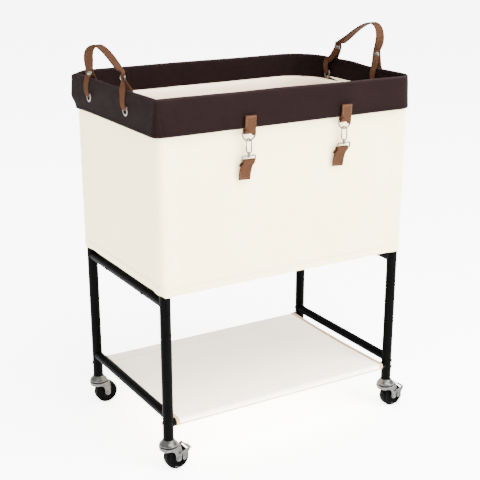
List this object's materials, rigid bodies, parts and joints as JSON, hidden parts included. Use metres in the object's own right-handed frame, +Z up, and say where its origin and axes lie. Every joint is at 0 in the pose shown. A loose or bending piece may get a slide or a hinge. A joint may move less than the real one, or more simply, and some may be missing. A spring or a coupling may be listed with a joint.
{
  "type": "rolling laundry sorter",
  "caption": "Rolling laundry sorter: a tube frame on swivel casters carries a canvas-covered bag with a folded leather collar, strap handles and snap hooks, over a fabric shelf.",
  "frame": {"origin": "on the floor, under the middle of the whole outline", "axes": "+Z up, +X along the long side towards the casters' pedals, -Y the front, with the snap hooks"},
  "size_m": [0.6207, 0.3972, 0.83],
  "materials": {
    "black_coat": "satin black powder coat",
    "zinc": "bright zinc plate",
    "wheel_rubber": "matte black",
    "canvas": "cream plain-weave canvas",
    "lining": "off-white lining cloth",
    "sling_cloth": "off-white fine cloth",
    "dark_leather": "dark brown, soft sheen",
    "tan_leather": "tan, fine grain",
    "nickel": "polished nickel",
    "board": "matte grey"
  },
  "bodies": {
    "frame_and_bag": {"post_front_left": "black_coat", "caster_front_left_stem": "zinc", "post_front_right": "black_coat", "caster_front_right_stem": "zinc", "post_rear_left": "black_coat", "caster_rear_left_stem": "zinc", "post_rear_right": "black_coat", "caster_rear_right_stem": "zinc", "base_rail_front": "black_coat", "base_rail_rear": "black_coat", "base_rail_left": "black_coat", "base_rail_right": "black_coat", "shelf_rail_front": "black_coat", "shelf_rail_rear": "black_coat", "shelf_rail_left": "black_coat", "shelf_rail_right": "black_coat", "base_board": "board", "canvas_cover": "canvas", "bag_liner": "lining", "shelf_sling": "sling_cloth", "leather_collar": "dark_leather", "handle_left_loop_rear": "tan_leather", "handle_left_loop_front": "tan_leather", "eyelet_left_rear": "nickel", "eyelet_left_front": "nickel", "handle_right_loop_rear": "tan_leather", "handle_right_loop_front": "tan_leather", "eyelet_right_rear": "nickel", "eyelet_right_front": "nickel", "clip_1_upper_tab": "tan_leather", "clip_1_lower_tab": "tan_leather", "clip_2_upper_tab": "tan_leather", "clip_2_lower_tab": "tan_leather"},
    "swivel_front_left": {"caster_front_left_fork": "zinc", "caster_front_left_axle": "zinc"},
    "wheel_front_left": {"caster_front_left_wheel": "wheel_rubber"},
    "brake_front_left": {"caster_front_left_brake": "zinc"},
    "swivel_front_right": {"caster_front_right_fork": "zinc", "caster_front_right_axle": "zinc"},
    "wheel_front_right": {"caster_front_right_wheel": "wheel_rubber"},
    "brake_front_right": {"caster_front_right_brake": "zinc"},
    "swivel_rear_left": {"caster_rear_left_fork": "zinc", "caster_rear_left_axle": "zinc"},
    "wheel_rear_left": {"caster_rear_left_wheel": "wheel_rubber"},
    "swivel_rear_right": {"caster_rear_right_fork": "zinc", "caster_rear_right_axle": "zinc"},
    "wheel_rear_right": {"caster_rear_right_wheel": "wheel_rubber"},
    "handle_left": {"handle_left_arch": "tan_leather"},
    "handle_right": {"handle_right_arch": "tan_leather"},
    "clip_1_ring": {"clip_1_d_ring": "nickel"},
    "clip_1_frame": {"clip_1_loop": "nickel"},
    "clip_1_hook_body": {"clip_1_hook": "nickel"},
    "clip_1_gate_body": {"clip_1_gate": "nickel"},
    "clip_2_ring": {"clip_2_d_ring": "nickel"},
    "clip_2_frame": {"clip_2_loop": "nickel"},
    "clip_2_hook_body": {"clip_2_hook": "nickel"},
    "clip_2_gate_body": {"clip_2_gate": "nickel"}
  },
  "joints": [
    {"name": "swivel_front_left_turn", "type": "hinge", "parent": "frame_and_bag", "child": "swivel_front_left", "pos_m": [-0.2847, -0.16993, 0.053], "axis": [0, 0, 1], "continuous": true},
    {"name": "wheel_front_left_spin", "type": "hinge", "parent": "swivel_front_left", "child": "wheel_front_left", "pos_m": [-0.2687, -0.16993, 0.025], "axis": [0, 1, 0], "continuous": true},
    {"name": "brake_front_left_press", "type": "hinge", "parent": "swivel_front_left", "child": "brake_front_left", "pos_m": [-0.2652, -0.16993, 0.037], "axis": [0, 1, 0], "range_deg": [0, 15]},
    {"name": "swivel_front_right_turn", "type": "hinge", "parent": "frame_and_bag", "child": "swivel_front_right", "pos_m": [0.2623, -0.16993, 0.053], "axis": [0, 0, 1], "continuous": true},
    {"name": "wheel_front_right_spin", "type": "hinge", "parent": "swivel_front_right", "child": "wheel_front_right", "pos_m": [0.2783, -0.16993, 0.025], "axis": [0, 1, 0], "continuous": true},
    {"name": "brake_front_right_press", "type": "hinge", "parent": "swivel_front_right", "child": "brake_front_right", "pos_m": [0.2818, -0.16993, 0.037], "axis": [0, 1, 0], "range_deg": [0, 15]},
    {"name": "swivel_rear_left_turn", "type": "hinge", "parent": "frame_and_bag", "child": "swivel_rear_left", "pos_m": [-0.2847, 0.17707, 0.053], "axis": [0, 0, 1], "continuous": true},
    {"name": "wheel_rear_left_spin", "type": "hinge", "parent": "swivel_rear_left", "child": "wheel_rear_left", "pos_m": [-0.2687, 0.17707, 0.025], "axis": [0, 1, 0], "continuous": true},
    {"name": "swivel_rear_right_turn", "type": "hinge", "parent": "frame_and_bag", "child": "swivel_rear_right", "pos_m": [0.2623, 0.17707, 0.053], "axis": [0, 0, 1], "continuous": true},
    {"name": "wheel_rear_right_spin", "type": "hinge", "parent": "swivel_rear_right", "child": "wheel_rear_right", "pos_m": [0.2783, 0.17707, 0.025], "axis": [0, 1, 0], "continuous": true},
    {"name": "handle_left_swing", "type": "hinge", "parent": "frame_and_bag", "child": "handle_left", "pos_m": [-0.3012, 0.01657, 0.758], "axis": [0, 1, 0], "range_deg": [-60, 60], "stiffness_Nm_per_rad": 0.03},
    {"name": "handle_right_swing", "type": "hinge", "parent": "frame_and_bag", "child": "handle_right", "pos_m": [0.2788, 0.01657, 0.758], "axis": [0, 1, 0], "range_deg": [-60, 60], "stiffness_Nm_per_rad": 0.03},
    {"name": "clip_1_ring_swing", "type": "hinge", "parent": "frame_and_bag", "child": "clip_1_ring", "pos_m": [-0.1132, -0.19293, 0.673], "axis": [-1, 0, 0], "range_deg": [-4, 10], "stiffness_Nm_per_rad": 0.006},
    {"name": "clip_1_frame_swing", "type": "hinge", "parent": "frame_and_bag", "child": "clip_1_frame", "pos_m": [-0.1132, -0.19293, 0.6178], "axis": [1, 0, 0], "range_deg": [-2.5, 5]},
    {"name": "clip_1_hook_swivel", "type": "hinge", "parent": "clip_1_frame", "child": "clip_1_hook_body", "pos_m": [-0.1132, -0.19293, 0.6273], "axis": [0, 0, 1], "range_deg": [-6, 6]},
    {"name": "clip_1_gate_open", "type": "hinge", "parent": "clip_1_hook_body", "child": "clip_1_gate_body", "pos_m": [-0.11621, -0.18862, 0.6397], "axis": [0.8192, 0.5736, 0], "range_deg": [0, 20], "stiffness_Nm_per_rad": 0.004},
    {"name": "clip_2_ring_swing", "type": "hinge", "parent": "frame_and_bag", "child": "clip_2_ring", "pos_m": [0.1068, -0.19293, 0.673], "axis": [-1, 0, 0], "range_deg": [-4, 10], "stiffness_Nm_per_rad": 0.006},
    {"name": "clip_2_frame_swing", "type": "hinge", "parent": "frame_and_bag", "child": "clip_2_frame", "pos_m": [0.1068, -0.19293, 0.6178], "axis": [1, 0, 0], "range_deg": [-2.5, 5]},
    {"name": "clip_2_hook_swivel", "type": "hinge", "parent": "clip_2_frame", "child": "clip_2_hook_body", "pos_m": [0.1068, -0.19293, 0.6273], "axis": [0, 0, 1], "range_deg": [-6, 6]},
    {"name": "clip_2_gate_open", "type": "hinge", "parent": "clip_2_hook_body", "child": "clip_2_gate_body", "pos_m": [0.10379, -0.18862, 0.6397], "axis": [0.8192, 0.5736, 0], "range_deg": [0, 20], "stiffness_Nm_per_rad": 0.004}
  ],
  "couplings": [
    {"joint": "clip_1_frame_swing", "follows": "clip_1_ring_swing", "ratio": 0.445},
    {"joint": "clip_2_frame_swing", "follows": "clip_2_ring_swing", "ratio": 0.445}
  ]
}
